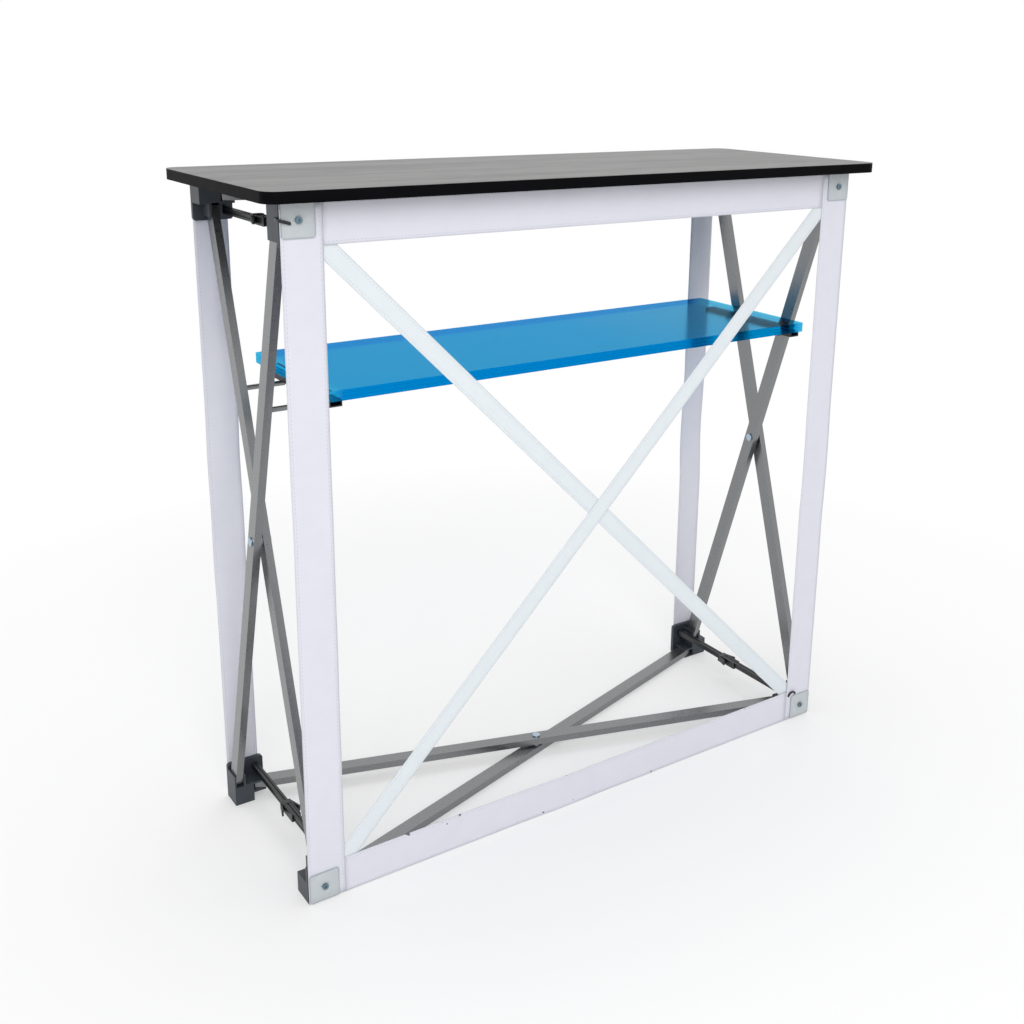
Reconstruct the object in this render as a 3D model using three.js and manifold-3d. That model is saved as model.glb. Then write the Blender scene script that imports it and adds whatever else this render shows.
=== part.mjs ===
import * as THREE from 'three';
import { mergeVertices } from 'three/addons/utils/BufferGeometryUtils.js';
import Module from 'manifold-3d';

const wasm = await Module();
wasm.setup();

// Overall frame: outer faces of the corner hubs.
const FRAME_W = 1050;
const FRAME_H = 1050;
const FRAME_D = 340;
const FRAME_Y0 = -162;
const GAP = 0.3;

// Counter top.
const TOP_L = 1114;
const TOP_D = 404;
const TOP_T = 16;
const TOP_R = 22;

// Scissor bars: rectangular tube, wide side in the plane of its cross.
const BAR_W = 24;
const BAR_T = 12;
const BAR_WALL = 1.5;
const BAR_EXT = 8;
const BAR_SLACK = 0.4;
const LAYER_OUT = 9;
const LAYER_IN = 24.5;

// Corner hubs: a face plate, a corner block and two pairs of cheeks.
const PIN_IN = 48;
const PIN_DEPTH = 25;
const PIN_R = 4;
const PIN_SLACK = 0.4;
const PLATE = 62;
const PLATE_T = 7;
const PLATE_R = 5;
const BLOCK = 33;
const HUB_DEPTH = 39;
const CHEEK_T = 3.5;
const BOLT_R = 6.5;

// Rivet at the middle of each cross.
const RIVET_HEAD_R = 7;
const RIVET_HEAD_T = 2;
const WASHER_R = 9;

// Locking arms between front and rear hubs.
const ARM_AT = 47;
const ARM_W = 10;
const ARM_GROOVE = 2.4;
const ARM_GROOVE_D = 1.6;
const CLIP_LEN = 38;
const CLIP_WALL = 2.2;
const CLIP_SLACK = 0.5;
const COLLAR_W = 17;
const COLLAR_LEN = 9;
const WING_L = 24;
const WING_T = 3;
const WING_SPREAD = 7;

// Cloth bands, straps and their corner plates.
const BAND_W = 60;
const BAND_T = 1.2;
const REAR_BAND_W = 54;
const STRAP_W = 28;
const STRAP_T = 1;
const STRAP_IN = 36;
const TAB = 48;
const TAB_T = 1.6;
const TAB_R = 4;
const SCREW_IN = 25;
const SCREW_R = 2.2;
const SCREW_SLACK = 0.4;
const SCREW_HEAD_R = 5;
const SCREW_HEAD_T = 2.6;
const SCREW_LEN = 14;

// Shelf panel and the two rails under its ends.
const SHELF_L = 932;
const SHELF_X = 25;
const SHELF_D = 283;
const SHELF_T = 16;
const SHELF_Y0 = -117;
const SHELF_TOP = 776;
const SHELF_R = 3;
const RAIL_L = 232;
const RAIL_W = 20;
const RAIL_T = 10;
const RAIL_WALL = 2;
const RAIL_INSET = 2;
const PEG_R = 4;
const PEG_UNDER = 8;

// Derived sizes.
const SPAN = FRAME_W - 2 * PIN_IN;
const RISE = FRAME_H - 2 * PIN_IN;
const DEPTH = FRAME_D - 2 * PIN_DEPTH;
const BAR_L = Math.hypot(RISE, DEPTH);
const LEAN = Math.atan2(DEPTH, RISE);
const BAR_L_FLAT = Math.hypot(SPAN, DEPTH);
const LEAN_FLAT = Math.atan2(DEPTH, SPAN);
const MID_Y = FRAME_Y0 + FRAME_D / 2;
const STRAP_NEAR = GAP;
const STRAP_FAR = STRAP_NEAR + STRAP_T + GAP;
const BAND_OFF = STRAP_FAR + STRAP_T + GAP;
const TAB_OFF = BAND_OFF + BAND_T + GAP;

const group = new THREE.Group();
group.name = 'folding_portable_bar';

const MAT = {
  plastic: new THREE.MeshStandardMaterial({ color: 0x2c333b, roughness: 0.55 }),
  metal: new THREE.MeshStandardMaterial({ color: 0x9aa0a6, roughness: 0.35, metalness: 0.9 }),
  steel: new THREE.MeshStandardMaterial({ color: 0xb9bec6, roughness: 0.3, metalness: 1 }),
  board: new THREE.MeshStandardMaterial({ color: 0x17181a, roughness: 0.5 }),
  cloth: new THREE.MeshStandardMaterial({ color: 0xe6e6f2, roughness: 0.9 }),
  clear: new THREE.MeshStandardMaterial({ color: 0xd4dee2, roughness: 0.2 }),
  blue: new THREE.MeshStandardMaterial({ color: 0x0f8fd6, roughness: 0.1 }),
};

function solid(geometry) {
  const bare = geometry.clone();
  bare.deleteAttribute('normal');
  bare.deleteAttribute('uv');
  const merged = mergeVertices(bare, 1e-4);
  return new wasm.Manifold(new wasm.Mesh({
    numProp: 3,
    vertProperties: new Float32Array(merged.attributes.position.array),
    triVerts: new Uint32Array(merged.index.array),
  }));
}

function toGeometry(body) {
  const mesh = body.getMesh();
  const out = new THREE.BufferGeometry();
  out.setAttribute('position', new THREE.BufferAttribute(new Float32Array(mesh.vertProperties), 3));
  out.setIndex(new THREE.BufferAttribute(new Uint32Array(mesh.triVerts), 1));
  const flat = out.toNonIndexed();
  flat.computeVertexNormals();
  return flat;
}

function add(name, body, material) {
  const mesh = new THREE.Mesh(toGeometry(body), material);
  mesh.name = name;
  group.add(mesh);
}

function moved(geometry, matrix) {
  return geometry.clone().applyMatrix4(matrix);
}

// Box from two opposite corners.
function box(x0, y0, z0, x1, y1, z1) {
  const g = new THREE.BoxGeometry(x1 - x0, y1 - y0, z1 - z0);
  g.translate((x0 + x1) / 2, (y0 + y1) / 2, (z0 + z1) / 2);
  return solid(g);
}

// Cylinder between two points along one axis.
function rod(axis, from, to, radius, a, b, sides = 24) {
  const g = new THREE.CylinderGeometry(radius, radius, to - from, sides);
  const mid = (from + to) / 2;
  if (axis === 'x') {
    g.rotateZ(Math.PI / 2);
    g.translate(mid, a, b);
  } else if (axis === 'y') {
    g.translate(a, mid, b);
  } else {
    g.rotateX(Math.PI / 2);
    g.translate(a, b, mid);
  }
  return solid(g);
}

// Plate with rounded corners, lying in the XZ plane, thick along +Y from y0.
function roundedPlate(x0, z0, x1, z1, y0, thick, radius) {
  const s = new THREE.Shape();
  s.moveTo(x0 + radius, z0);
  s.lineTo(x1 - radius, z0);
  s.absarc(x1 - radius, z0 + radius, radius, -Math.PI / 2, 0, false);
  s.lineTo(x1, z1 - radius);
  s.absarc(x1 - radius, z1 - radius, radius, 0, Math.PI / 2, false);
  s.lineTo(x0 + radius, z1);
  s.absarc(x0 + radius, z1 - radius, radius, Math.PI / 2, Math.PI, false);
  s.lineTo(x0, z0 + radius);
  s.absarc(x0 + radius, z0 + radius, radius, Math.PI, 1.5 * Math.PI, false);
  const g = new THREE.ExtrudeGeometry(s, { depth: thick, bevelEnabled: false, curveSegments: 6 });
  g.rotateX(Math.PI / 2);
  g.translate(0, y0 + thick, 0);
  return solid(g);
}

function union(bodies) {
  return bodies.reduce((a, b) => a.add(b));
}

function minus(body, cuts) {
  return cuts.reduce((a, b) => a.subtract(b), body);
}

// Turns a body drawn in corner coordinates (in from the outer faces) into the frame.
function toCorner(body, right, rear, top) {
  const sx = right ? -1 : 1;
  const sy = rear ? -1 : 1;
  const sz = top ? -1 : 1;
  const x = right ? FRAME_W / 2 : -FRAME_W / 2;
  const y = rear ? FRAME_Y0 + FRAME_D : FRAME_Y0;
  const z = top ? FRAME_H : 0;
  const m = new THREE.Matrix4().makeScale(sx, sy, sz);
  m.setPosition(x, y, z);
  return body.transform(m.elements);
}

// Corner hub: layerEnd and layerFlat are the depths of its two bars.
function hub(layerEnd, layerFlat, rear) {
  const pieces = [
    roundedPlate(0, 0, PLATE, PLATE, 0, PLATE_T, PLATE_R),
    box(0, 0, 0, BLOCK, HUB_DEPTH, BLOCK),
  ];
  const half = BAR_T / 2 + BAR_SLACK;
  const tall = PIN_IN + BOLT_R;
  const spans = [layerEnd, layerFlat].map((c) => [
    [Math.max(0, c - half - CHEEK_T), c - half],
    [c + half, c + half + CHEEK_T],
  ]);
  for (const [a, b] of spans[0]) {
    pieces.push(box(a, 0, 0, b, HUB_DEPTH, tall));
  }
  for (const [a, b] of spans[1]) {
    pieces.push(box(0, 0, a, tall, HUB_DEPTH, b));
  }
  const cuts = [];
  const past = PIN_IN + 60;
  cuts.push(box(layerEnd - half, PLATE_T + 0.01, BLOCK, layerEnd + half, past, past));
  cuts.push(box(BLOCK, PLATE_T + 0.01, layerFlat - half, past, past, layerFlat + half));
  let body = minus(union(pieces), cuts);
  const pins = [
    rod('x', spans[0][0][0], spans[0][1][1], PIN_R, PIN_DEPTH, PIN_IN),
    rod('z', spans[1][0][0], spans[1][1][1], PIN_R, PIN_IN, PIN_DEPTH),
  ];
  body = union([body, ...pins]);
  if (!rear) {
    body = body.subtract(rod('y', -1, SCREW_LEN, SCREW_R + SCREW_SLACK, SCREW_IN, SCREW_IN, 16));
  }
  return body;
}

// Bar along +X of its own frame, centred on its middle rivet, bores along Z.
function bar(length, pegs) {
  const l = length / 2 + BAR_EXT;
  const w = BAR_W / 2;
  const t = BAR_T / 2;
  const shell = box(-l, -w, -t, l, w, t);
  const hollow = box(-l - 1, -w + BAR_WALL, -t + BAR_WALL, l + 1, w - BAR_WALL, t - BAR_WALL);
  const bores = [-length / 2, 0, length / 2].map((x) => rod('z', -t - 1, t + 1, PIN_R + PIN_SLACK, x, 0));
  let body = minus(shell, [hollow, ...bores]);
  for (const [at, z0, z1] of pegs) {
    body = body.add(rod('z', z0, z1, PEG_R, at, 0));
  }
  return body;
}

const corners = [
  ['front_bottom_left', false, false, false, LAYER_IN, LAYER_OUT],
  ['front_bottom_right', true, false, false, LAYER_OUT, LAYER_IN],
  ['front_top_left', false, false, true, LAYER_OUT, LAYER_OUT],
  ['front_top_right', true, false, true, LAYER_IN, LAYER_IN],
  ['rear_bottom_left', false, true, false, LAYER_OUT, LAYER_IN],
  ['rear_bottom_right', true, true, false, LAYER_IN, LAYER_OUT],
  ['rear_top_left', false, true, true, LAYER_IN, LAYER_IN],
  ['rear_top_right', true, true, true, LAYER_OUT, LAYER_OUT],
];
for (const [name, right, rear, top, layerEnd, layerFlat] of corners) {
  add(`hub_${name}`, toCorner(hub(layerEnd, layerFlat, rear), right, rear, top), MAT.plastic);
}

// Height along an end bar, from its middle, at which a rail is carried.
const RAIL_Z = SHELF_TOP - SHELF_T - GAP - RAIL_T;
const PEG_ALONG = (RAIL_Z - GAP - PEG_R / Math.cos(LEAN) - FRAME_H / 2) / Math.cos(LEAN);

// End crosses: A leans from rear bottom to front top, B from front bottom to rear top.
function endBar(layerX, slope, pegs) {
  const m = new THREE.Matrix4().makeBasis(
    new THREE.Vector3(0, slope * Math.sin(LEAN), Math.cos(LEAN)),
    new THREE.Vector3(0, Math.cos(LEAN), -slope * Math.sin(LEAN)).multiplyScalar(-1),
    new THREE.Vector3(1, 0, 0),
  );
  m.setPosition(layerX, MID_Y, FRAME_H / 2);
  return bar(BAR_L, pegs).transform(m.elements);
}
for (const side of ['left', 'right']) {
  const s = side === 'left' ? -1 : 1;
  const xOut = s * (FRAME_W / 2 - LAYER_OUT);
  const xIn = s * (FRAME_W / 2 - LAYER_IN);
  const xA = side === 'left' ? xOut : xIn;
  const xB = side === 'left' ? xIn : xOut;
  const inner = SHELF_X + s * (SHELF_L / 2 - RAIL_INSET - PEG_UNDER);
  const pegFor = (x) => {
    const far = inner - x;
    const near = -s * (BAR_T / 2 - 0.5);
    return [[PEG_ALONG, Math.min(near, far), Math.max(near, far)]];
  };
  add(`bar_${side}_a`, endBar(xA, -1, pegFor(xA)), MAT.metal);
  add(`bar_${side}_b`, endBar(xB, 1, pegFor(xB)), MAT.metal);
}

// Flat crosses: P runs rear left to front right, Q front left to rear right.
function flatBar(z, slope) {
  const c = Math.cos(LEAN_FLAT);
  const s = slope * Math.sin(LEAN_FLAT);
  const m = new THREE.Matrix4().makeBasis(
    new THREE.Vector3(c, s, 0),
    new THREE.Vector3(-s, c, 0),
    new THREE.Vector3(0, 0, 1),
  );
  m.setPosition(0, MID_Y, z);
  return bar(BAR_L_FLAT, []).transform(m.elements);
}
add('bar_bottom_p', flatBar(LAYER_IN, -1), MAT.metal);
add('bar_bottom_q', flatBar(LAYER_OUT, 1), MAT.metal);
add('bar_top_p', flatBar(FRAME_H - LAYER_IN, -1), MAT.metal);
add('bar_top_q', flatBar(FRAME_H - LAYER_OUT, 1), MAT.metal);

// Rivet along +Z of its own frame, from the outer layer to the inner one.
function rivet() {
  const t = BAR_T / 2 + GAP;
  const mid = (LAYER_OUT + LAYER_IN) / 2;
  const halfGap = (LAYER_IN - LAYER_OUT) / 2 - t;
  return union([
    rod('z', LAYER_OUT - t - RIVET_HEAD_T, LAYER_IN + t + RIVET_HEAD_T, PIN_R, 0, 0),
    rod('z', LAYER_OUT - t - RIVET_HEAD_T, LAYER_OUT - t, RIVET_HEAD_R, 0, 0),
    rod('z', LAYER_IN + t, LAYER_IN + t + RIVET_HEAD_T, RIVET_HEAD_R, 0, 0),
    rod('z', mid - halfGap, mid + halfGap, WASHER_R, 0, 0),
  ]);
}
function rivetAt(x, z, axis) {
  const m = new THREE.Matrix4();
  if (axis === 'x') {
    const s = x < 0 ? 1 : -1;
    m.makeRotationY(s * Math.PI / 2);
    m.setPosition(-s * FRAME_W / 2, MID_Y, FRAME_H / 2);
  } else {
    m.makeRotationX(z > 0 ? Math.PI : 0);
    m.setPosition(0, MID_Y, z);
  }
  return rivet().transform(m.elements);
}
add('rivet_left', rivetAt(-1, 0, 'x'), MAT.steel);
add('rivet_right', rivetAt(1, 0, 'x'), MAT.steel);
add('rivet_bottom', rivetAt(0, 0, 'z'), MAT.steel);
add('rivet_top', rivetAt(0, FRAME_H, 'z'), MAT.steel);

// Locking arms: a grooved rod on each hub, the rear one ending in a clip that holds the front one.
const ARM_MEET = FRAME_D / 2;
function armRod(from, to) {
  const h = ARM_W / 2;
  const g = ARM_GROOVE / 2;
  const body = box(ARM_AT - h, from, ARM_AT - h, ARM_AT + h, to, ARM_AT + h);
  const grooves = [
    box(ARM_AT - g, from - 1, ARM_AT + h - ARM_GROOVE_D, ARM_AT + g, to + 1, ARM_AT + h + 1),
    box(ARM_AT - g, from - 1, ARM_AT - h - 1, ARM_AT + g, to + 1, ARM_AT - h + ARM_GROOVE_D),
    box(ARM_AT - h - 1, from - 1, ARM_AT - g, ARM_AT - h + ARM_GROOVE_D, to + 1, ARM_AT + g),
  ];
  return minus(body, grooves);
}
function armRear() {
  const h = ARM_W / 2;
  const inside = h + CLIP_SLACK;
  const outside = inside + CLIP_WALL;
  const end = ARM_MEET + CLIP_LEN / 2;
  const start = ARM_MEET - CLIP_LEN / 2;
  const clip = box(ARM_AT - outside, start, ARM_AT - outside, ARM_AT + outside, end, ARM_AT + inside);
  const channel = box(ARM_AT - inside, start + CLIP_WALL, ARM_AT - inside, ARM_AT + inside, end + 1, ARM_AT + 40);
  const c = COLLAR_W / 2;
  const collar = box(ARM_AT - c, start - COLLAR_LEN, ARM_AT - c, ARM_AT + c, start + 1, ARM_AT + h);
  const wings = [-1, 1].map((s) => {
    const g = new THREE.BoxGeometry(WING_T, WING_L, ARM_W);
    g.rotateZ(-s * Math.atan2(WING_SPREAD, WING_L));
    g.translate(ARM_AT + s * (outside + WING_SPREAD / 2), start - COLLAR_LEN / 2 + WING_L / 2 - 2, ARM_AT - 1);
    return solid(g);
  });
  return union([armRod(PLATE_T + GAP, start), clip.subtract(channel), collar, wings[0], wings[1]]);
}
function armFront() {
  return armRod(PLATE_T + GAP, ARM_MEET + CLIP_LEN / 2 - CLIP_WALL - GAP);
}
for (const [right, side] of [[false, 'left'], [true, 'right']]) {
  for (const [top, level] of [[false, 'bottom'], [true, 'top']]) {
    add(`arm_rear_${level}_${side}`, toCorner(armRear(), right, true, top), MAT.plastic);
    add(`arm_front_${level}_${side}`, toCorner(armFront(), right, false, top), MAT.plastic);
  }
}

// Front bands, with screw holes where the corner plates clamp them.
const xOuter = FRAME_W / 2;
const yBand = FRAME_Y0 - BAND_OFF - BAND_T;
for (const [s, side] of [[-1, 'left'], [1, 'right']]) {
  const x0 = s < 0 ? -xOuter : xOuter - BAND_W;
  const holes = [SCREW_IN, FRAME_H - SCREW_IN].map((z) => (
    rod('y', yBand - 1, yBand + BAND_T + 1, SCREW_R + SCREW_SLACK, s * (xOuter - SCREW_IN), z, 16)
  ));
  const strip = box(x0, yBand, GAP, x0 + BAND_W, yBand + BAND_T, FRAME_H - GAP);
  add(`band_front_${side}`, minus(strip, holes), MAT.cloth);
}
const xButt = xOuter - BAND_W - GAP;
add('band_front_bottom', box(-xButt, yBand, GAP, xButt, yBand + BAND_T, BAND_W), MAT.cloth);
add('band_front_top', box(-xButt, yBand, FRAME_H - BAND_W, xButt, yBand + BAND_T, FRAME_H - GAP), MAT.cloth);

// Rear bands.
const yRear = FRAME_Y0 + FRAME_D + GAP;
for (const [s, side] of [[-1, 'left'], [1, 'right']]) {
  const x0 = s < 0 ? -xOuter + 2 : xOuter - 2 - REAR_BAND_W;
  add(`band_rear_${side}`, box(x0, yRear, GAP, x0 + REAR_BAND_W, yRear + BAND_T, FRAME_H - GAP), MAT.cloth);
}

// Cross straps between opposite corners of the front.
function strap(slope, off) {
  const dx = FRAME_W - 2 * STRAP_IN;
  const dz = FRAME_H - 2 * STRAP_IN;
  const g = new THREE.BoxGeometry(Math.hypot(dx, dz), STRAP_T, STRAP_W);
  g.rotateY(-slope * Math.atan2(dz, dx));
  g.translate(0, FRAME_Y0 - off - STRAP_T / 2, FRAME_H / 2);
  return solid(g);
}
add('strap_rising', strap(1, STRAP_FAR), MAT.cloth);
add('strap_falling', strap(-1, STRAP_NEAR), MAT.cloth);

// Clear corner plates and their screws.
function tabPlate() {
  const a = SCREW_IN - TAB / 2;
  const plate = roundedPlate(a, a, a + TAB, a + TAB, -TAB_OFF - TAB_T, TAB_T, TAB_R);
  return plate.subtract(rod('y', -TAB_OFF - TAB_T - 1, -TAB_OFF + 1, SCREW_R + SCREW_SLACK, SCREW_IN, SCREW_IN, 16));
}
function screw() {
  const face = -TAB_OFF - TAB_T - GAP;
  const top = face - SCREW_HEAD_T;
  const cross = [
    box(SCREW_IN - 2.6, top - 1, SCREW_IN - 0.5, SCREW_IN + 2.6, top + 1.3, SCREW_IN + 0.5),
    box(SCREW_IN - 0.5, top - 1, SCREW_IN - 2.6, SCREW_IN + 0.5, top + 1.3, SCREW_IN + 2.6),
  ];
  const head = rod('y', top, face, SCREW_HEAD_R, SCREW_IN, SCREW_IN);
  const shank = rod('y', face - 0.5, SCREW_LEN - 1, SCREW_R, SCREW_IN, SCREW_IN, 16);
  return minus(head.add(shank), cross);
}
for (const [name, right, rear, top] of corners) {
  if (!rear) {
    const place = name.replace('front_', '');
    add(`corner_plate_${place}`, toCorner(tabPlate(), right, rear, top), MAT.clear);
    add(`corner_screw_${place}`, toCorner(screw(), right, rear, top), MAT.steel);
  }
}

// Shelf panel and its rails.
function slab(l, d, t, r, xc, y0, z0) {
  const s = new THREE.Shape();
  const x1 = l / 2;
  s.moveTo(-x1 + r, 0);
  s.lineTo(x1 - r, 0);
  s.absarc(x1 - r, r, r, -Math.PI / 2, 0, false);
  s.lineTo(x1, d - r);
  s.absarc(x1 - r, d - r, r, 0, Math.PI / 2, false);
  s.lineTo(-x1 + r, d);
  s.absarc(-x1 + r, d - r, r, Math.PI / 2, Math.PI, false);
  s.lineTo(-x1, r);
  s.absarc(-x1 + r, r, r, Math.PI, 1.5 * Math.PI, false);
  const g = new THREE.ExtrudeGeometry(s, { depth: t, bevelEnabled: false, curveSegments: 8 });
  g.translate(xc, y0, z0);
  return solid(g);
}
add('shelf', slab(SHELF_L, SHELF_D, SHELF_T, SHELF_R, SHELF_X, SHELF_Y0, SHELF_TOP - SHELF_T), MAT.blue);
for (const [s, side] of [[-1, 'left'], [1, 'right']]) {
  const x1 = SHELF_X + s * (SHELF_L / 2 - RAIL_INSET);
  const x0 = x1 - s * RAIL_W;
  const y0 = MID_Y - RAIL_L / 2;
  const lo = Math.min(x0, x1);
  const hi = Math.max(x0, x1);
  const outer = box(lo, y0, RAIL_Z, hi, y0 + RAIL_L, RAIL_Z + RAIL_T);
  const inner = box(lo + RAIL_WALL, y0 - 1, RAIL_Z + RAIL_WALL, hi - RAIL_WALL, y0 + RAIL_L + 1,
    RAIL_Z + RAIL_T - RAIL_WALL);
  add(`shelf_rail_${side}`, outer.subtract(inner), MAT.metal);
}

// Counter top.
add('counter_top', slab(TOP_L, TOP_D, TOP_T, TOP_R, 0, -TOP_D / 2, FRAME_H + GAP), MAT.board);

export default group;
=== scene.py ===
"""Finishes, shelf, cloth, tie ends and studio of the folding bar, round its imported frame."""

import logging
import math
from dataclasses import dataclass, field
from enum import Enum
from typing import Any, Optional, Sequence

import bpy
import numpy as np
from mathutils import Matrix, Vector


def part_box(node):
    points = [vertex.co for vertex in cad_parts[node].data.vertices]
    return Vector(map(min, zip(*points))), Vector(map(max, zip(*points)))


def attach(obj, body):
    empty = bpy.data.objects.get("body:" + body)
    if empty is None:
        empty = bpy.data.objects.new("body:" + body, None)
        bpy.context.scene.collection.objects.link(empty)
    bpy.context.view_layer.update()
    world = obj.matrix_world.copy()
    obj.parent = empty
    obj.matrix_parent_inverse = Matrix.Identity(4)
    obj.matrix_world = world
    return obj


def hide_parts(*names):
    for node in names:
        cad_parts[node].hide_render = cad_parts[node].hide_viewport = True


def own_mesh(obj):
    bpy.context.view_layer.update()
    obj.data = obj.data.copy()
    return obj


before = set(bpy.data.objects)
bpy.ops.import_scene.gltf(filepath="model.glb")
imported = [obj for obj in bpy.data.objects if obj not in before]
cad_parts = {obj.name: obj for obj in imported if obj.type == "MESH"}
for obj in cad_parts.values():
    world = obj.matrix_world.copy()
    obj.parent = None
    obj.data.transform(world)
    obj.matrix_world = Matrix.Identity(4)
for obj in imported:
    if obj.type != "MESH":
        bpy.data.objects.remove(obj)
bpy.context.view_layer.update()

log = logging.getLogger("folding_bar")

Colour = tuple[float, float, float]
Place = tuple[float, float, float]
ClothColours = tuple[Colour, Colour, Colour]

# Height of the middle of the front.
FRAME_MIDDLE = 0.525
FULL_TURN = 2.0 * math.pi
# Sockets of a Mix node that is set to colours.
MIX_COLOURS = (6, 7)
MIX_RESULT = 2


class Run(Enum):
    """Direction in which a tape runs, from left to right on the front."""

    UP = "up"
    ACROSS = "across"
    RISING = "rising"
    FALLING = "falling"


class Value:
    """Wraps a float socket, so that shader maths reads as a Python expression."""

    def __init__(self, net: "Net", socket: Any) -> None:
        """Keeps the socket and the node net that it belongs to."""
        self.net = net
        self.socket = socket

    def _math(self, operation: str, a: Any, b: Any = None) -> "Value":
        """Adds one Math node.

        Args:
            operation: Blender's name of the operation.
            a: First value, number or wrapped socket.
            b: Second value where the operation takes one.

        Returns:
            The wrapped result.
        """
        inputs = {0: a} if b is None else {0: a, 1: b}
        made = self.net.node("ShaderNodeMath", {"operation": operation}, inputs)
        return Value(self.net, made.outputs[0])

    def __add__(self, other: Any) -> "Value":
        """Sum."""
        return self._math("ADD", self, other)

    __radd__ = __add__

    def __sub__(self, other: Any) -> "Value":
        """Difference."""
        return self._math("SUBTRACT", self, other)

    def __rsub__(self, other: Any) -> "Value":
        """Difference from a number."""
        return self._math("SUBTRACT", other, self)

    def __mul__(self, other: Any) -> "Value":
        """Product."""
        return self._math("MULTIPLY", self, other)

    __rmul__ = __mul__

    def __gt__(self, other: Any) -> "Value":
        """1 where this is the larger, else 0."""
        return self._math("GREATER_THAN", self, other)

    def __lt__(self, other: Any) -> "Value":
        """1 where this is the smaller, else 0."""
        return self._math("LESS_THAN", self, other)

    def smaller(self, other: Any) -> "Value":
        """The smaller of the two."""
        return self._math("MINIMUM", self, other)

    def distance(self) -> "Value":
        """The value without its sign."""
        return self._math("ABSOLUTE", self)

    def limited(self) -> "Value":
        """The value held between 0 and 1."""
        return self._math("MAXIMUM", self._math("MINIMUM", self, 1.0), 0.0)

    def wave(self) -> "Value":
        """Sine of the value, in radians."""
        return self._math("SINE", self)


@dataclass(frozen=True)
class Grain:
    """Noise of a finish: its scale per metre, a factor on each axis and its octaves."""

    scale: float
    stretch: Place = (1.0, 1.0, 1.0)
    detail: float = 3.0


@dataclass(frozen=True)
class Swing:
    """Number that a noise varies: its least value, and what the noise adds to it."""

    least: float
    added: float

    def on(self, noise: Value) -> Value:
        """The number as varied by a noise."""
        return noise * self.added + self.least


@dataclass(frozen=True)
class Relief:
    """Bump of a finish: its strength, and the distance that a height of 1 stands for."""

    strength: float
    reach: float


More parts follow.
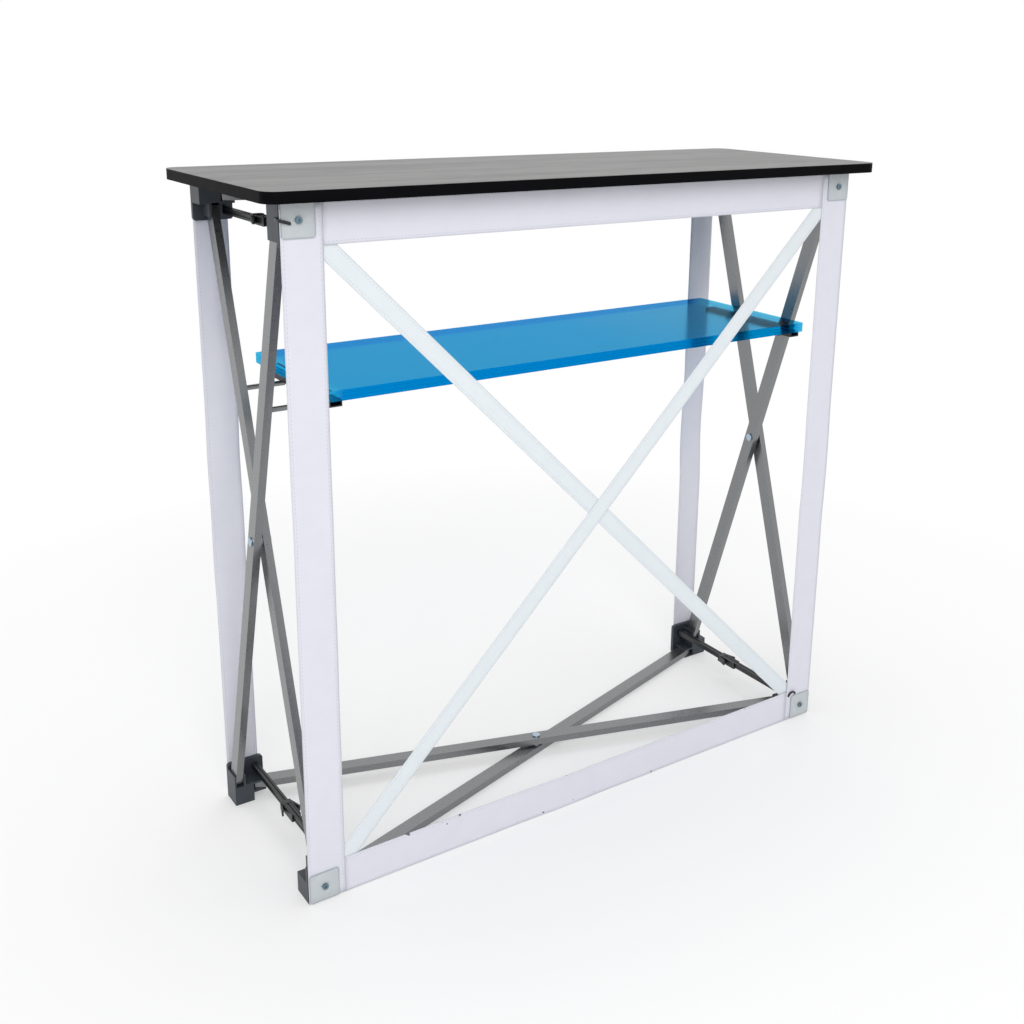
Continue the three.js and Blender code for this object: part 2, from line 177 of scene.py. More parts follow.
class Net:
    """Node net of one material."""

    def __init__(self, name: str) -> None:
        """Makes a material with an empty net and a Principled shader."""
        self.material = bpy.data.materials.new(name)
        self.material.use_nodes = True
        self.tree = self.material.node_tree
        self.tree.nodes.clear()
        self.shader = self.node("ShaderNodeBsdfPrincipled", {}, {})
        self.out = self.node("ShaderNodeOutputMaterial", {}, {})
        self.tree.links.new(self.shader.outputs[0], self.out.inputs[0])

    def node(self, kind: str, settings: dict[str, Any], inputs: dict[Any, Any]) -> Any:
        """Adds a node.

        Args:
            kind: Blender's node type.
            settings: Properties of the node, set first; "stops" sets a colour ramp.
            inputs: Socket name or index to a number, colour, socket or wrapped value.

        Returns:
            The node.
        """
        made = self.tree.nodes.new(kind)
        for key, value in settings.items():
            if key == "stops":
                self._stops(made, value)
            else:
                setattr(made, key, value)
        for key, value in inputs.items():
            self.feed(made.inputs[key], value)
        return made

    def _stops(self, ramp: Any, stops: Sequence[tuple[float, Colour]]) -> None:
        """Sets a ramp's stops, each a place and a colour."""
        elements = ramp.color_ramp.elements
        while len(elements) < len(stops):
            elements.new(1.0)
        for element, (place, colour) in zip(elements, stops):
            element.position = place
            element.color = (*colour, 1.0)

    def feed(self, socket: Any, value: Any) -> None:
        """Links or sets one socket."""
        if isinstance(value, Value):
            self.tree.links.new(value.socket, socket)
        elif isinstance(value, bpy.types.NodeSocket):
            self.tree.links.new(value, socket)
        else:
            socket.default_value = value

    def place(self, kind: str = "Object") -> tuple[Value, Value, Value]:
        """Splits a texture coordinate.

        Args:
            kind: Output of Texture Coordinate, Object or UV.

        Returns:
            The three wrapped components.
        """
        coord = self.node("ShaderNodeTexCoord", {}, {}).outputs[kind]
        split = self.node("ShaderNodeSeparateXYZ", {}, {0: coord})
        return tuple(Value(self, split.outputs[i]) for i in range(3))

    def noise(self, grain: Grain) -> Value:
        """Noise on Object coordinates.

        Args:
            grain: Scale, stretch and octaves of the noise.

        Returns:
            The wrapped noise value.
        """
        coord = self.node("ShaderNodeTexCoord", {}, {}).outputs["Object"]
        scaled = self.node("ShaderNodeMapping", {}, {"Vector": coord, "Scale": grain.stretch})
        made = self.node("ShaderNodeTexNoise", {}, {
            "Vector": scaled.outputs[0],
            "Scale": grain.scale,
            "Detail": grain.detail,
        })
        return Value(self, made.outputs[0])

    def mix(self, share: Any, a: Any, b: Any) -> Any:
        """Mixes two colours.

        Args:
            share: Share of the second colour.
            a: First colour or colour socket.
            b: Second colour or colour socket.

        Returns:
            The colour socket.
        """
        made = self.node("ShaderNodeMix", {"data_type": "RGBA"}, {0: share})
        for index, value in zip(MIX_COLOURS, (a, b)):
            self.feed(made.inputs[index], (*value, 1.0) if isinstance(value, tuple) else value)
        return made.outputs[MIX_RESULT]

    def bump(self, height: Value, relief: Relief) -> None:
        """Feeds a bump into the shader's normal.

        Args:
            height: Wrapped height.
            relief: Strength and reach of the bump.
        """
        made = self.node("ShaderNodeBump", {}, {
            "Strength": relief.strength,
            "Distance": relief.reach,
            "Height": height,
        })
        self.feed(self.shader.inputs["Normal"], made.outputs[0])

    def blend(self, share: Value, other: Any) -> None:
        """Mixes the shader with another one before the output.

        Args:
            share: Share of the other shader.
            other: Output socket of the other shader.
        """
        inputs = {0: share, 1: self.shader.outputs[0], 2: other}
        made = self.node("ShaderNodeMixShader", {}, inputs)
        self.tree.links.new(made.outputs[0], self.out.inputs[0])

    def set(self, **sockets: Any) -> "Net":
        """Sets or links sockets of the shader, with underscores for spaces in their names."""
        for key, value in sockets.items():
            name = key.replace("_", " ")
            if isinstance(value, tuple) and len(value) == 3:
                value = (*value, 1.0)
            self.feed(self.shader.inputs[name], value)
        return self


@dataclass(frozen=True)
class BoardFinish:
    """Black laminate with a fine grain along the board and a plain black edge strip."""

    face: Colour = (0.018, 0.019, 0.019)
    grain: Colour = (0.120, 0.121, 0.116)
    edge: Colour = (0.0015, 0.0016, 0.0020)
    edge_scuff: Colour = (0.004, 0.004, 0.005)
    fine: Grain = Grain(300.0, (0.05, 1.0, 1.0), 6.0)
    broad: Grain = Grain(26.0, (0.08, 1.0, 1.0))
    scuff: Grain = Grain(70.0, (0.2, 1.0, 1.0))
    fine_share: float = 0.65
    broad_share: float = 0.45
    face_from: float = 0.44
    grain_from: float = 0.64
    face_rough: Swing = Swing(0.33, 0.10)
    face_relief: Relief = Relief(0.18, 0.0006)
    edge_rough: Swing = Swing(0.40, 0.15)
    edge_gloss: float = 0.03
    edge_line: float = 0.0004

    def make(self, top: float) -> bpy.types.Material:
        """Builds the material.

        Args:
            top: Height of the board's upper face, which takes the grain.

        Returns:
            The material.
        """
        net = Net("board_laminate")
        fine = net.noise(self.fine)
        grain = fine * self.fine_share + net.noise(self.broad) * self.broad_share
        stops = [(self.face_from, self.face), (self.grain_from, self.grain)]
        ramp = net.node("ShaderNodeValToRGB", {"stops": stops}, {0: grain})
        net.set(Base_Color=ramp.outputs[0], Roughness=self.face_rough.on(grain))
        net.bump(fine, self.face_relief)
        scuff = net.noise(self.scuff)
        strip = net.node("ShaderNodeBsdfPrincipled", {}, {
            "Base Color": net.mix(scuff, self.edge, self.edge_scuff),
            "Roughness": self.edge_rough.on(scuff),
            "Specular IOR Level": self.edge_gloss,
        })
        height = net.place()[2]
        net.blend(height < (top - self.edge_line), strip.outputs[0])
        return net.material


@dataclass(frozen=True)
class MetalFinish:
    """Drawn or plated metal, with faint streaks."""

    name: str
    colour: Colour
    rough: float
    metallic: float = 1.0
    streak: Grain = Grain(140.0)
    streak_shade: float = 0.08
    rough_swing: float = 0.05

    def make(self) -> bpy.types.Material:
        """Builds the material."""
        net = Net(self.name)
        streak = net.noise(self.streak)
        dark = tuple(c * (1.0 - self.streak_shade) for c in self.colour)
        rough = Swing(self.rough - self.rough_swing / 2, self.rough_swing)
        net.set(Base_Color=net.mix(streak, dark, self.colour))
        net.set(Roughness=rough.on(streak), Metallic=self.metallic)
        return net.material


@dataclass(frozen=True)
class MouldedFinish:
    """Moulded plastic with a fine spark-eroded grain."""

    name: str
    colour: Colour
    rough: float
    grain: Grain = Grain(900.0, detail=2.0)
    worn: Grain = Grain(30.0)
    worn_gain: float = 1.35
    rough_swing: float = 0.12
    relief: Relief = Relief(0.15, 0.0003)

    def make(self) -> bpy.types.Material:
        """Builds the material."""
        net = Net(self.name)
        worn = net.noise(self.worn)
        light = tuple(c * self.worn_gain for c in self.colour)
        rough = Swing(self.rough - self.rough_swing / 2, self.rough_swing)
        net.set(Base_Color=net.mix(worn, self.colour, light), Roughness=rough.on(worn))
        net.bump(net.noise(self.grain), self.relief)
        return net.material


@dataclass(frozen=True)
class ClothFinish:
    """Woven tape with a fine rib, a hem line and a row of stitches along both edges."""

    name: str
    colour: Colour
    shade: Colour
    thread: Colour
    width: float
    length: float
    wear: float = 0.0
    soil: Colour = (0.045, 0.042, 0.045)
    grit: Grain = Grain(95.0, detail=1.0)
    speck_cut: float = 0.745
    speck_reach: float = 0.010
    mottle: Grain = Grain(40.0)
    mottle_share: float = 0.5
    weave_share: float = 0.12
    least_shade: float = 0.1
    hem_width: float = 0.0022
    hem_share: float = 0.45
    stitch_share: float = 0.55
    stitch_cut: float = -0.35
    stitch_in: float = 0.0045
    stitch_half: float = 0.0005
    stitch_pitch: float = 0.006
    rib_pitch: float = 0.0016
    crease: Grain = Grain(26.0, (1.0, 1.0, 0.6))
    weave_height: float = 0.5
    stitch_height: float = -1.2
    crease_height: float = 2.2
    rough: Swing = Swing(0.78, 0.08)
    relief: Relief = Relief(0.35, 0.0004)

    def make(self) -> bpy.types.Material:
        """Builds the material, on the piece's own UV map: along the tape, then across it."""
        net = Net(self.name)
        along, across, _ = net.place("UV")
        run = along * self.length
        wide = across * self.width
        edge = wide.smaller(self.width - wide)
        line = (edge - self.stitch_in).distance() < self.stitch_half
        stitch = line * ((run * (FULL_TURN / self.stitch_pitch)).wave() > self.stitch_cut)
        turn = FULL_TURN / self.rib_pitch
        weave = (run * turn).wave() * (wide * turn).wave()
        mottle = net.noise(self.mottle)
        shade = mottle * self.mottle_share + weave * self.weave_share + self.least_shade
        ground = net.mix(shade, self.colour, self.shade)
        ground = net.mix((edge < self.hem_width) * self.hem_share, ground, self.shade)
        sewn = net.mix(stitch * self.stitch_share, ground, self.thread)
        grit = net.noise(self.grit)
        specks = (grit > self.speck_cut) * (edge < self.speck_reach) * self.wear
        net.set(Base_Color=net.mix(specks, sewn, self.soil), Roughness=self.rough.on(mottle))
        height = weave * self.weave_height + stitch * self.stitch_height
        net.bump(height + net.noise(self.crease) * self.crease_height, self.relief)
        return net.material


@dataclass(frozen=True)
class PanelFinish:
    """Clear blue sheet, deep at its sawn edges, cyan at both tips, with a painted reflection that
    pales it to the right.
    """

    face: Colour = (0.000, 0.300, 0.610)
    # pale: greyer blue into which random cloud tone and the painted reflection on the right mix the
    # face.
    pale: Colour = (0.060, 0.330, 0.540)
    edge: Colour = (0.000, 0.200, 0.640)
    tip: Colour = (0.060, 0.580, 0.780)
    clear: float = 1.0
    index: float = 1.03
    rim: float = 0.0016
    tip_reach: float = 0.02
    # Painted reflection: starts at this x and fades in over this distance, paling the face.
    reflection_from: float = 0.10
    reflection_fade: float = 0.35
    cloud: Grain = Grain(3.0, (0.6, 1.6, 1.0), 2.0)
    cloud_share: float = 0.5
    reflection_share: float = 0.6
    tip_share: float = 0.8
    rough: Swing = Swing(0.18, 0.10)

    def make(self, low: np.ndarray, high: np.ndarray) -> bpy.types.Material:
        """Builds the material.

        Args:
            low: Lowest corner of the panel.
            high: Highest corner of the panel.

        Returns:
            The material.
        """
        net = Net("blue_sheet")
        x, y, _ = net.place()
        middle, half = (low + high) / 2, (high - low) / 2
        end = float(half[0]) - (x - float(middle[0])).distance()
        side = float(half[1]) - (y - float(middle[1])).distance()
        cloud = net.noise(self.cloud)
        # Painted reflection, paler to the right, mixed with random cloud tone into the face.
        painted_reflection = ((x - self.reflection_from) * (1.0 / self.reflection_fade)).limited()
        pale = (cloud * self.cloud_share + painted_reflection * self.reflection_share).limited()
        face = net.mix(pale, self.face, self.pale)
        cut = end.smaller(side) < self.rim
        tip = (1.0 - end * (1.0 / self.tip_reach)).limited()
        net.set(Base_Color=net.mix(tip * self.tip_share, net.mix(cut, face, self.edge), self.tip))
        net.set(Roughness=self.rough.on(cloud), Transmission_Weight=self.clear, IOR=self.index)
        return net.material


@dataclass(frozen=True)
class ClearFinish:
    """Clear plastic corner plate, frosted by wear, with a darker sawn rim."""

    colour: Colour = (0.68, 0.74, 0.76)
    worn: Colour = (0.80, 0.84, 0.85)
    rim: Colour = (0.36, 0.40, 0.44)
    cover: float = 0.50
    half: float = 0.024
    rim_width: float = 0.0012
    rim_share: float = 0.8
    rim_cover: float = 0.3
    frost: Grain = Grain(55.0, detail=4.0)
    rough: Swing = Swing(0.10, 0.25)
    index: float = 1.49

    def make(self, centre: tuple[float, float]) -> bpy.types.Material:
        """Builds the material.

        Args:
            centre: Distance of a plate's middle from the frame's middle, across and up.

        Returns:
            The material, which serves all four corners by mirroring the place about the middle.
        """
        net = Net("clear_plate")
        x, _, z = net.place()
        across = (x.distance() - centre[0]).distance()
        up = ((z - FRAME_MIDDLE).distance() - centre[1]).distance()
        inner = (self.half - across).smaller(self.half - up)
        line = inner < self.rim_width
        frost = net.noise(self.frost)
        face = net.mix(frost, self.colour, self.worn)
        net.set(Base_Color=net.mix(line * self.rim_share, face, self.rim))
        net.set(Roughness=self.rough.on(frost), Alpha=line * self.rim_cover + self.cover)
        net.set(IOR=self.index)
        return net.material


def mesh_object(
    name: str,
    points: np.ndarray,
    faces: Sequence[Sequence[int]],
    uv: Optional[np.ndarray] = None,
) -> bpy.types.Object:
    """Makes a mesh object at the origin.

    Args:
        name: Name of the piece.
        points: Vertex positions in metres, one row each.
        faces: Vertex numbers of each face.
        uv: Texture place of each vertex, where the finish needs one.

    Returns:
        The object, linked into the scene.
    """
    mesh = bpy.data.meshes.new(name)
    mesh.from_pydata(points.tolist(), [], [list(map(int, f)) for f in faces])
    if uv is not None:
        layer = mesh.uv_layers.new(name="tape")
        loops = np.empty(len(mesh.loops), dtype=np.int32)
        mesh.loops.foreach_get("vertex_index", loops)
        layer.data.foreach_set("uv", uv[loops].astype(np.float32).ravel())
    mesh.validate()
    mesh.update()
    made = bpy.data.objects.new(name, mesh)
    bpy.context.scene.collection.objects.link(made)
    return made


def grid_faces(rows: int, columns: int) -> np.ndarray:
    """Quads of a grid of vertices numbered row by row.

    Args:
        rows: Vertices along the first parameter.
        columns: Vertices along the second parameter.

    Returns:
        One row of four vertex numbers for each quad.
    """
    start = (np.arange(rows - 1)[:, None] * columns + np.arange(columns - 1)[None, :]).ravel()
    return np.stack([start, start + columns, start + columns + 1, start + 1], axis=1)


def tube_faces(rings: int, count: int) -> list[list[int]]:
    """Quads between closed rings of vertices, numbered ring by ring, and a cap on each end.

    Args:
        rings: Number of rings.
        count: Vertices of each ring.

    Returns:
        Vertex numbers of each face.
    """
    ring = np.arange(count)
    following = (ring + 1) % count
    base = np.arange(rings - 1)[:, None] * count
    corners = [base + ring, base + following, base + count + following, base + count + ring]
    quads = np.stack(corners, axis=2).reshape(-1, 4).tolist()
    return quads + [ring[::-1].tolist(), (ring + (rings - 1) * count).tolist()]


def dress(obj: bpy.types.Object, material: bpy.types.Material) -> None:
    """Gives an object one material."""
    obj.data.materials.clear()
    obj.data.materials.append(material)


@dataclass(frozen=True)
class Tape:
    """One band or strap: its node, the hub bodies at its fixed and its other end, and its run.

    The seed shifts its waves, so that no two tapes match. Wear is the share of soiled specks.
    """

    node: str
    near: str
    far: str
    run: Run
    seed: float
    rear: bool = False
    wear: float = 0.0


@dataclass(frozen=True)
class Lay:
    """Where a tape lies: a corner, unit vectors along, across and outwards, length and width."""

    start: np.ndarray
    along: np.ndarray
    side: np.ndarray
    out: np.ndarray
    length: float
    width: float


@dataclass
class ClothBands:
    """Cloth bands and crossed straps, each a thin tape with a slight slack between its fixings."""

    thickness: float = 0.0009
    step: float = 0.012
    least_count: int = 12
    across_count: int = 13
    slack: float = 0.0026
    rear_slack: float = 0.006
    strap_slack: float = 0.0002
    strap_width: float = 0.028
    held_share: float = 0.32
    ease_share: float = 0.12
    mean_height: float = 0.35
    wave_turns: tuple[float, float, float] = (5.1, 13.0, 23.0)
    wave_sizes: tuple[float, float, float] = (0.30, 0.15, 0.35)
    seed_gain: float = 2.1
    skew: float = 1.6
    band_colours: ClothColours = (
        (0.775, 0.780, 0.850),
        (0.690, 0.695, 0.775),
        (0.50, 0.50, 0.60),
    )
    strap_colours: ClothColours = (
        (0.800, 0.850, 0.880),
        (0.720, 0.775, 0.815),
        (0.55, 0.60, 0.67),
    )
    bands: tuple[Tape, ...] = (
        Tape("band_front_left", "front_bottom_left", "front_top_left", Run.UP, 0.7),
        Tape("band_front_right", "front_bottom_right", "front_top_right", Run.UP, 2.9),
        Tape("band_front_bottom", "front_bottom_left", "front_bottom_right", Run.ACROSS, 4.4,
             wear=0.85),
        Tape("band_front_top", "front_top_left", "front_top_right", Run.ACROSS, 1.7),
        Tape("band_rear_left", "rear_bottom_left", "rear_top_left", Run.UP, 0.2, rear=True),
        Tape("band_rear_right", "rear_bottom_right", "rear_top_right", Run.UP, 3.6, rear=True),
    )
    straps: tuple[Tape, ...] = (
        Tape("strap_rising", "front_bottom_left", "front_top_right", Run.RISING, 1.1),
        Tape("strap_falling", "front_top_left", "front_bottom_right", Run.FALLING, 2.3),
    )
    made: list[bpy.types.Object] = field(default_factory=list)

    def tape_mesh(self, name: str, lay: Lay, slack: float, seed: float) -> bpy.types.Object:
        """Tape surface: start + along s L + side t W + out h(s, t).

        The height h is a few slow waves, which die away towards both ends.

        Args:
            name: Name of the piece.
            lay: Where the tape lies.
            slack: Height of the waves in metres.
            seed: Shift of the waves.

        Returns:
            The object.
        """
        count = max(self.least_count, int(lay.length / self.step))
        rows, columns = np.linspace(0, 1, count), np.linspace(0, 1, self.across_count)
        s, t = np.meshgrid(rows, columns, indexing="ij")
        held = np.clip((np.minimum(s, 1 - s) - self.held_share) / self.ease_share, 0, 1)
        held = held * held * (3 - 2 * held)
        slow, quick, curl = self.wave_turns
        slow_size, quick_size, curl_size = self.wave_sizes
        wave = slow_size * np.sin(slow * s + seed)
        wave += quick_size * np.sin(quick * s + self.seed_gain * seed + self.skew * t)
        wave += curl_size * np.sin(curl * s + seed) * (2 * t - 1) ** 2
        height = slack * held * (self.mean_height + wave)
        points = lay.start + lay.along * (s[..., None] * lay.length)
        points = points + lay.side * (t[..., None] * lay.width) + lay.out * height[..., None]
        uv = np.stack([s.ravel(), t.ravel()], axis=1)
        made = mesh_object(name, points.reshape(-1, 3), grid_faces(count, self.across_count), uv)
        thick = made.modifiers.new("thickness", "SOLIDIFY")
        thick.thickness = self.thickness
        thick.offset = 0.0
        for polygon in made.data.polygons:
            polygon.use_smooth = True
        return made

    def finish(self, tape: Tape, lay: Lay, colours: ClothColours) -> bpy.types.Material:
        """Cloth finish for one tape's size and wear."""
        return ClothFinish("cloth_" + tape.node, *colours, lay.width, lay.length, tape.wear).make()

    def declare(
        self,
        made: bpy.types.Object,
        tape: Tape,
    ) -> None:
        """Hides the node that the tape stands for, hangs the tape on the hub body at its fixed end
        and gives it its own mesh.

        Args:
            made: The tape's object.
            tape: Its node and hubs.
        """
        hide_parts(tape.node)
        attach(made, tape.near)
        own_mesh(made)
        self.made.append(made)

    def band(self, tape: Tape) -> None:
        """One straight band, laid in the box of its node with its face outwards."""
        low, high = (np.array(c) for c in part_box(tape.node))
        span = high - low
        start = np.array([low[0], (low[1] + high[1]) / 2, low[2]])
        upright = tape.run is Run.UP
        up, right = np.array([0.0, 0.0, 1.0]), np.array([1.0, 0.0, 0.0])
        along, side = (up, right) if upright else (right, up)
        length, width = (span[2], span[0]) if upright else (span[0], span[2])
        if tape.rear == upright:
            start, side = start + side * width, -side
        out = np.array([0.0, 1.0 if tape.rear else -1.0, 0.0])
        lay = Lay(start, along, side, out, float(length), float(width))
        slack = self.rear_slack if tape.rear else self.slack
        made = self.tape_mesh(tape.node.replace("band_", "tape_"), lay, slack, tape.seed)
        dress(made, self.finish(tape, lay, self.band_colours))
        self.declare(made, tape)

    def strap(self, tape: Tape) -> None:
        """One diagonal strap, from corner to corner of its node's box."""
        low, high = (np.array(c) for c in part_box(tape.node))
        inset = self.strap_width / (2 * math.sqrt(2))
        middle = (low[1] + high[1]) / 2
        levels = (low[2] + inset, high[2] - inset)
        begin, end = levels if tape.run is Run.RISING else levels[::-1]
        first = np.array([low[0] + inset, middle, begin])
        last = np.array([high[0] - inset, middle, end])
        length = float(np.linalg.norm(last - first))
        along = (last - first) / length
        out = np.array([0.0, -1.0, 0.0])
        side = np.cross(out, along)
        start = first - side * self.strap_width / 2
        lay = Lay(start, along, side, out, length, self.strap_width)
        made = self.tape_mesh(tape.node + "_tape", lay, self.strap_slack, tape.seed)
        dress(made, self.finish(tape, lay, self.strap_colours))
        self.declare(made, tape)

    def build(self) -> None:
        """Makes every band and strap."""
        for tape in self.bands:
            self.band(tape)
        for tape in self.straps:
            self.strap(tape)
        for made in self.made:
            log.info("%s: %d vertices", made.name, len(made.data.vertices))


@dataclass
class ShelfPanel:
    """Shelf of three clear blue sheets laid on each other, with a fine groove where two meet."""

    layers: int = 3
    gap: float = 0.0009
    groove: float = 0.0012
    corner: float = 0.003
    arc: int = 6

    def outline(self, low: np.ndarray, high: np.ndarray) -> np.ndarray:
        """Rectangle with rounded corners: each corner's centre plus a quarter circle.

        Args:
            low: Lowest corner.
            high: Highest corner.

        Returns:
            Points round the outline, counter-clockwise from above.
        """
        angle = np.linspace(0, math.pi / 2, self.arc)
        turns = np.arange(4)[:, None] * (math.pi / 2) + angle[None, :]
        inner_low, inner_high = low[:2] + self.corner, high[:2] - self.corner
        centre_x = np.array([inner_high[0], inner_low[0], inner_low[0], inner_high[0]])
        centre_y = np.array([inner_high[1], inner_high[1], inner_low[1], inner_low[1]])
        x = centre_x[:, None] + self.corner * np.cos(turns)
        y = centre_y[:, None] + self.corner * np.sin(turns)
        return np.stack([x.ravel(), y.ravel()], axis=1)

    def build(self) -> None:
        """Carries the grooved edge profile round the outline, in the place of the shelf node."""
        low, high = (np.array(c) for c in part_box("shelf"))
        thick = (high[2] - low[2] - self.gap * (self.layers - 1)) / self.layers
        bottoms = low[2] + np.arange(self.layers) * (thick + self.gap)
        heights = np.stack([bottoms, bottoms + thick], axis=1).ravel()
        profile = [(0.0, heights[0])]
        for top, bottom in zip(heights[1:-1:2], heights[2::2]):
            profile += [(0.0, top), (self.groove, top), (self.groove, bottom), (0.0, bottom)]
        profile.append((0.0, heights[-1]))
        rings = []
        for inset, z in profile:
            rim = self.outline(low + inset, high - inset)
            rings.append(np.column_stack([rim, np.full(len(rim), z)]))
        faces = tube_faces(len(rings), len(rings[0]))
        made = mesh_object("shelf_sheets", np.concatenate(rings), faces)
        dress(made, PanelFinish().make(low, high))
        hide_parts("shelf")
        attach(made, "shelf_unit")
        log.info("shelf_sheets: %d layers", self.layers)


@dataclass
class CableTies:
    """Black nylon tie ends: one round the upper left corner, one at the lower right corner."""

    width: float = 0.0046
    thick: float = 0.0016
    samples: int = 28
    section: int = 12
    squareness: float = 0.5
    clear: float = 0.0012
    upper_knots: tuple[Place, ...] = (
        (0.0, 0.015, 0.002),
        (-0.0012, 0.006, 0.001),
        (0.002, -0.0016, 0.0),
        (0.015, 0.0, -0.004),
    )
    lower_knots: tuple[Place, ...] = (
        (-0.008, 0.0, 0.001),
        (-0.002, -0.002, 0.010),
        (0.006, -0.002, 0.009),
        (0.008, 0.0, 0.003),
    )
    finish: MouldedFinish = MouldedFinish("tie_nylon", (0.008, 0.008, 0.009), 0.35)

    def sweep(self, name: str, knots: np.ndarray, flat: np.ndarray) -> bpy.types.Object:
        """Rounded flat section carried along a smooth path: p(u) + flat w cos(a) + out t sin(a).

        Args:
            name: Name of the piece.
            knots: Points that the path goes through.
            flat: Unit vector across the path, along the section's wide side.

        Returns:
            The object.
        """
        u = np.linspace(0, len(knots) - 1, self.samples)
        power = np.vander(np.arange(len(knots), dtype=float), increasing=True)
        shape = np.linalg.solve(power, knots)
        path = np.vander(u, len(knots), increasing=True) @ shape
        tangent = np.gradient(path, axis=0)
        tangent /= np.linalg.norm(tangent, axis=1, keepdims=True)
        out = np.cross(tangent, flat)
        out /= np.linalg.norm(out, axis=1, keepdims=True)
        angle = np.linspace(0, FULL_TURN, self.section, endpoint=False)
        cosine, sine = np.cos(angle), np.sin(angle)
        wide = np.sign(cosine) * np.abs(cosine) ** self.squareness * self.width / 2
        deep = np.sign(sine) * np.abs(sine) ** self.squareness * self.thick / 2
        points = path[:, None, :] + wide[None, :, None] * flat
        points = points + deep[None, :, None] * out[:, None, :]
        faces = tube_faces(self.samples, self.section)
        made = mesh_object(name, points.reshape(-1, 3), faces)
        for polygon in made.data.polygons:
            polygon.use_smooth = len(polygon.vertices) == 4
        return made

    def build(self) -> None:
        """Lays both ties against the plate and the band that carry them."""
        low, high = (np.array(c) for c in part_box("corner_plate_top_left"))
        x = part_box("hub_front_top_left")[0][0] - self.clear
        corner = np.array([x, low[1] - self.clear, (low[2] + high[2]) / 2])
        upper = self.sweep("tie_upper", corner + self.upper_knots, np.array([0.0, 0.0, 1.0]))
        low, high = (np.array(c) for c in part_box("corner_plate_bottom_right"))
        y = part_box("band_front_right")[0][1] - self.clear
        corner = np.array([low[0], y, high[2]])
        lower = self.sweep("tie_lower", corner + self.lower_knots, np.array([0.0, 1.0, 0.0]))
        nylon = self.finish.make()
        for made, body in ((upper, "front_top_left"), (lower, "front_bottom_right")):
            dress(made, nylon)
            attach(made, body)
            log.info("%s: %d faces", made.name, len(made.data.polygons))


@dataclass
class FrameFinishes:
    """Finishes of the rigid CAD pieces."""

    hub: MouldedFinish = MouldedFinish("hub_plastic", (0.028, 0.036, 0.045), 0.45)
    arm: MouldedFinish = MouldedFinish("arm_plastic", (0.012, 0.013, 0.015), 0.36)
    bar: MetalFinish = MetalFinish("bar_tube", (0.245, 0.250, 0.255), 0.28, 0.9)
    zinc: MetalFinish = MetalFinish("zinc_steel", (0.42, 0.52, 0.62), 0.28)
    screw: MetalFinish = MetalFinish("screw_steel", (0.17, 0.25, 0.30), 0.30)
    rail: MetalFinish = MetalFinish("rail_dark", (0.030, 0.031, 0.034), 0.42, 0.4)
    board: BoardFinish = BoardFinish()
    plate: ClearFinish = ClearFinish()

    def build(self) -> None:
        """Gives every rigid node its finish."""
        low, high = (np.array(c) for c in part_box("corner_plate_top_right"))
        across, up = float(low[0] + high[0]) / 2, float(low[2] + high[2]) / 2 - FRAME_MIDDLE
        made = {
            "hub_": self.hub.make(),
            "arm_": self.arm.make(),
            "bar_": self.bar.make(),
            "rivet_": self.zinc.make(),
            "corner_screw": self.screw.make(),
            "shelf_rail": self.rail.make(),
            "corner_plate": self.plate.make((across, up)),
            "counter_top": self.board.make(float(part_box("counter_top")[1][2])),
        }
        for name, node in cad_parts.items():
            for start, material in made.items():
                if name.startswith(start):
                    dress(node, material)
                    log.info("%s: %s", name, material.name)


@dataclass(frozen=True)
class Lamp:
    """Soft square lamp: its place, the point that it faces, its edge length and its watts."""

    name: str
    place: Place
    aim: Place
    size: float
    power: float


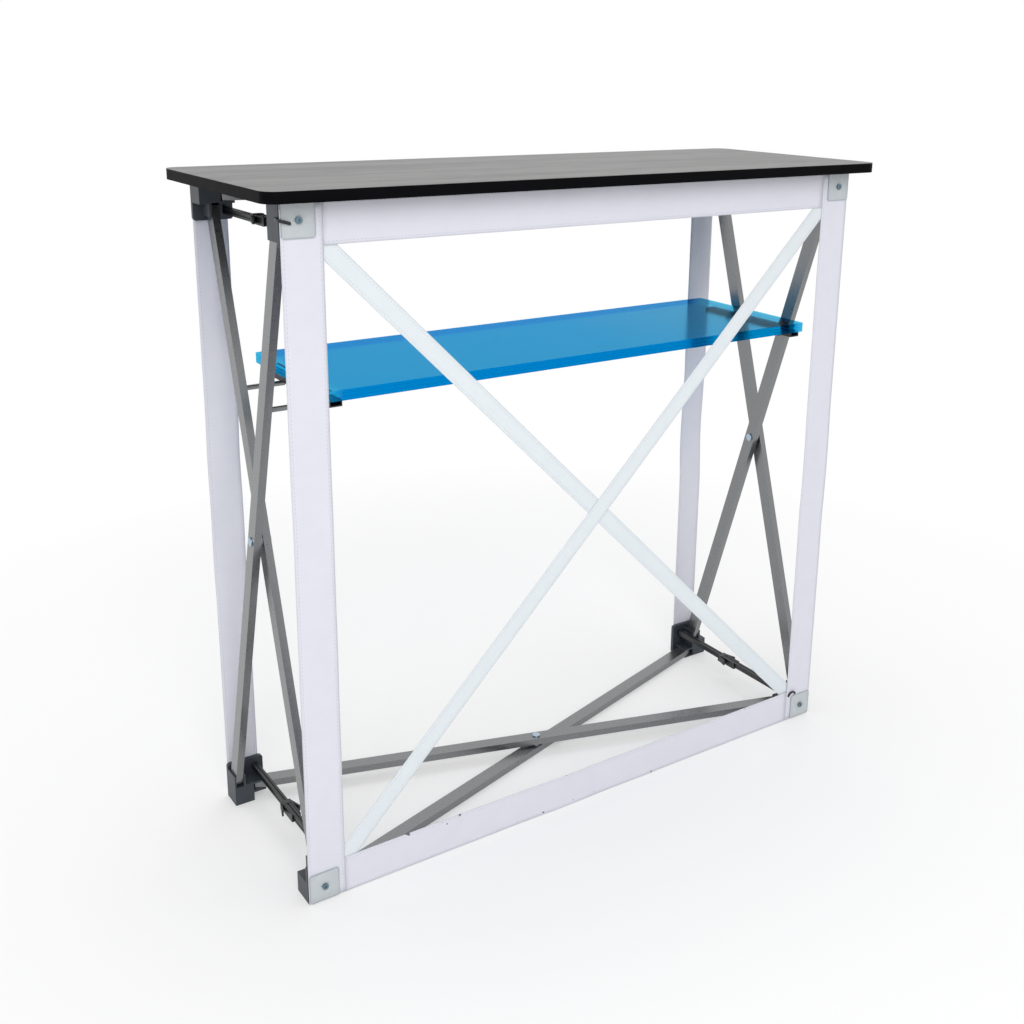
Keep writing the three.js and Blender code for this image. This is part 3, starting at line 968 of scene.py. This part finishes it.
@dataclass
class Studio:
    """Floor, light and the camera at the photograph's angle."""

    image: int = 1024
    focal_px: float = 1226.91
    centre_px: tuple[float, float] = (549.64, 400.64)
    azimuth: float = -34.5428
    elevation: float = 15.3995
    roll: float = 0.8328
    eye: Place = (-1.12971, -1.66078, 1.22540)
    sensor: float = 36.0
    far_clip: float = 200.0
    floor_half: float = 30.0
    floor_drop: float = 0.0006
    floor_colour: Colour = (0.95, 0.95, 0.95)
    floor_rough: float = 0.9
    floor_gloss: float = 0.1
    floor_near: float = 0.55
    floor_far: float = 1.7
    floor_least: float = 0.35
    world: float = 0.62
    lamps: tuple[Lamp, ...] = (
        Lamp("key", (-1.6, -3.2, 3.0), (0.0, 0.0, 0.5), 2.4, 70.0),
        Lamp("top", (0.4, 0.6, 4.0), (0.0, 0.0, 0.8), 3.0, 50.0),
    )

    def camera(self) -> None:
        """Sets the camera by its eye, direction, roll, focal length and optical centre."""
        data = bpy.data.cameras.new("photo_camera")
        data.sensor_width = self.sensor
        data.lens = self.focal_px / self.image * self.sensor
        data.shift_x = (self.image / 2 - self.centre_px[0]) / self.image
        data.shift_y = (self.centre_px[1] - self.image / 2) / self.image
        data.clip_end = self.far_clip
        a, e, r = (math.radians(v) for v in (self.azimuth, self.elevation, self.roll))
        back = Vector((math.sin(a) * math.cos(e), -math.cos(a) * math.cos(e), math.sin(e)))
        right = Vector((math.cos(a), math.sin(a), 0.0))
        up = back.cross(right)
        rolled_right = math.cos(r) * right + math.sin(r) * up
        rolled_up = math.cos(r) * up - math.sin(r) * right
        turn = Matrix((rolled_right, rolled_up, back)).transposed().to_4x4()
        camera = bpy.data.objects.new("photo_camera", data)
        camera.matrix_world = Matrix.Translation(Vector(self.eye)) @ turn
        bpy.context.scene.collection.objects.link(camera)
        bpy.context.scene.camera = camera

    def floor(self) -> None:
        """A wide pale floor just under the hubs, which fades to white away from the object."""
        h = self.floor_half
        z = -self.floor_drop
        points = np.array([(-h, -h, z), (h, -h, z), (h, h, z), (-h, h, z)])
        made = mesh_object("floor", points, [(0, 1, 2, 3)])
        net = Net("floor_pale")
        net.set(Base_Color=self.floor_colour, Roughness=self.floor_rough)
        net.set(Specular_IOR_Level=self.floor_gloss)
        x, y, _ = net.place()
        near, far = self.floor_near ** 2, self.floor_far ** 2
        away = ((x * x + y * y) - near) * (1.0 / (far - near))
        path = net.node("ShaderNodeLightPath", {}, {})
        seen = Value(net, path.outputs["Is Camera Ray"]) + Value(net, path.outputs["Is Glossy Ray"])
        seen = seen + Value(net, path.outputs["Is Transmission Ray"])
        share = (away.limited() * (1.0 - self.floor_least) + self.floor_least) * seen.limited()
        white = net.node("ShaderNodeEmission", {}, {"Color": (1.0, 1.0, 1.0, 1.0), "Strength": 1.0})
        net.blend(share, white.outputs[0])
        dress(made, net.material)

    def sky(self) -> None:
        """White to the camera and in reflections, softer as light on the object."""
        world = bpy.data.worlds.new("studio")
        bpy.context.scene.world = world
        world.use_nodes = True
        tree = world.node_tree
        tree.nodes.clear()
        path = tree.nodes.new("ShaderNodeLightPath")
        seen = tree.nodes.new("ShaderNodeMath")
        seen.operation = "MAXIMUM"
        clear = tree.nodes.new("ShaderNodeMath")
        clear.operation = "MAXIMUM"
        strength = tree.nodes.new("ShaderNodeMapRange")
        strength.inputs["To Min"].default_value = self.world
        strength.inputs["To Max"].default_value = 1.0
        shade = tree.nodes.new("ShaderNodeBackground")
        shade.inputs["Color"].default_value = (1.0, 1.0, 1.0, 1.0)
        out = tree.nodes.new("ShaderNodeOutputWorld")
        tree.links.new(path.outputs["Is Camera Ray"], seen.inputs[0])
        tree.links.new(path.outputs["Is Transmission Ray"], seen.inputs[1])
        tree.links.new(seen.outputs[0], clear.inputs[0])
        tree.links.new(path.outputs["Is Glossy Ray"], clear.inputs[1])
        tree.links.new(clear.outputs[0], strength.inputs["Value"])
        tree.links.new(strength.outputs[0], shade.inputs["Strength"])
        tree.links.new(shade.outputs[0], out.inputs["Surface"])

    def light(self, lamp: Lamp) -> None:
        """Adds one soft square lamp, turned to its aim."""
        data = bpy.data.lights.new(lamp.name, "AREA")
        data.size = lamp.size
        data.energy = lamp.power
        made = bpy.data.objects.new(lamp.name, data)
        turn = (Vector(lamp.aim) - Vector(lamp.place)).to_track_quat("-Z", "Y")
        made.matrix_world = Matrix.Translation(Vector(lamp.place)) @ turn.to_matrix().to_4x4()
        bpy.context.scene.collection.objects.link(made)

    def build(self) -> None:
        """Sets up the stage, light and view transform."""
        self.camera()
        self.floor()
        self.sky()
        for lamp in self.lamps:
            self.light(lamp)
        bpy.context.scene.view_settings.view_transform = "Standard"


def main() -> None:
    """Builds the bar in order."""
    logging.basicConfig(level=logging.INFO, format="%(message)s")
    Studio().build()
    FrameFinishes().build()
    ShelfPanel().build()
    ClothBands().build()
    CableTies().build()


if __name__ == "__main__":
    main()
